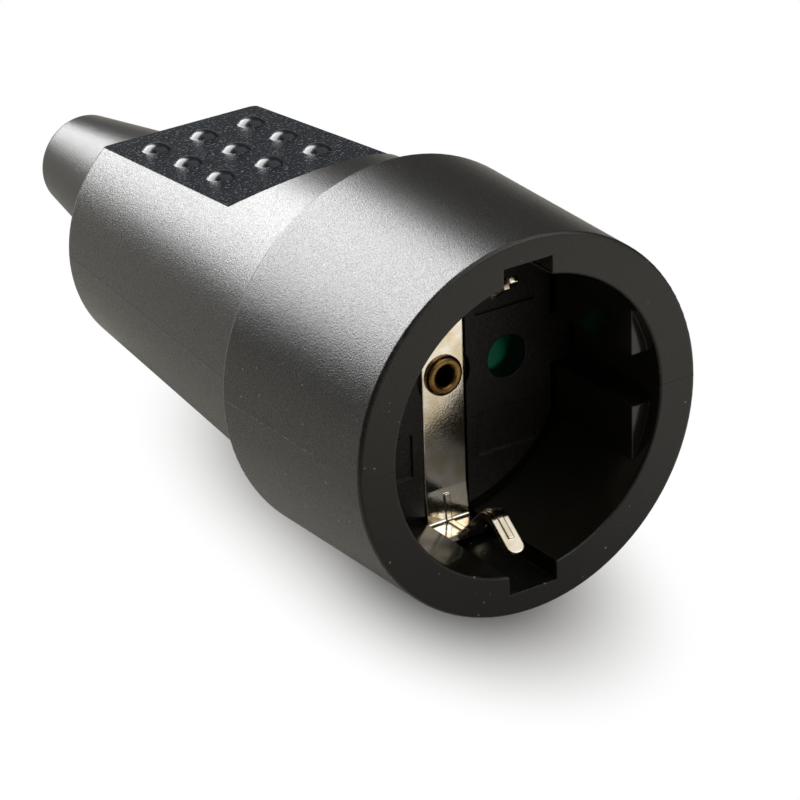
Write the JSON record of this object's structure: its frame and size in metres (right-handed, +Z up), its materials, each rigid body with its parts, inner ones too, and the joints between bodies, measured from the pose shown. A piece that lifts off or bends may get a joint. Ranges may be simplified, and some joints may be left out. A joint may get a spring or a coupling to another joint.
{
  "type": "inline socket connector",
  "caption": "Round moulded inline mains socket with a deep plug recess, side earth clips, shuttered pin holes, dotted grip panels and a tapered cable sleeve.",
  "frame": {"origin": "centre of the socket's mouth, on the axis in the plane of the front rim", "axes": "+X to the right seen from the mouth, +Y towards the cable end, +Z up; the connector lies on the collar's rear edge and the lower grip panel's rear edge, so its axis dips 13.16 degrees towards the cable end"},
  "size_m": [0.0504, 0.1102, 0.0554],
  "materials": {
    "shell": "satin with fine grain",
    "sleeve": "matt",
    "insert": "matt with fine grain",
    "nickel": "bright nickel plate",
    "rivet": "satin",
    "shutter": "satin green",
    "spring": "drawn wire",
    "contact": "rolled",
    "terminal": "machined",
    "screw": "zinc plate",
    "clamp": "satin"
  },
  "bodies": {
    "housing": {"upper_shell": "shell", "lower_shell": "shell", "cable_sleeve": "sleeve", "contact_plate": "insert", "contact_base": "insert", "earth_strap": "nickel", "centre_rivet": "rivet", "shutter_spring": "spring", "left_contact": "contact", "right_contact": "contact", "left_terminal": "terminal", "right_terminal": "terminal", "earth_tail": "contact", "earth_terminal": "terminal", "terminal_screws": "screw", "cord_clamp": "clamp", "clamp_screws": "screw", "shell_screws": "screw"},
    "shutter": {"shutter": "shutter"}
  },
  "joints": [
    {"name": "shutter_turn", "type": "hinge", "parent": "housing", "child": "shutter", "pos_m": [0, 0.02264, -0.00529], "axis": [0, 0.9737, -0.2277], "range_deg": [0, 42], "stiffness_Nm_per_rad": 0.01, "springref_deg": -17.19, "deforming": ["shutter_spring"]}
  ]
}
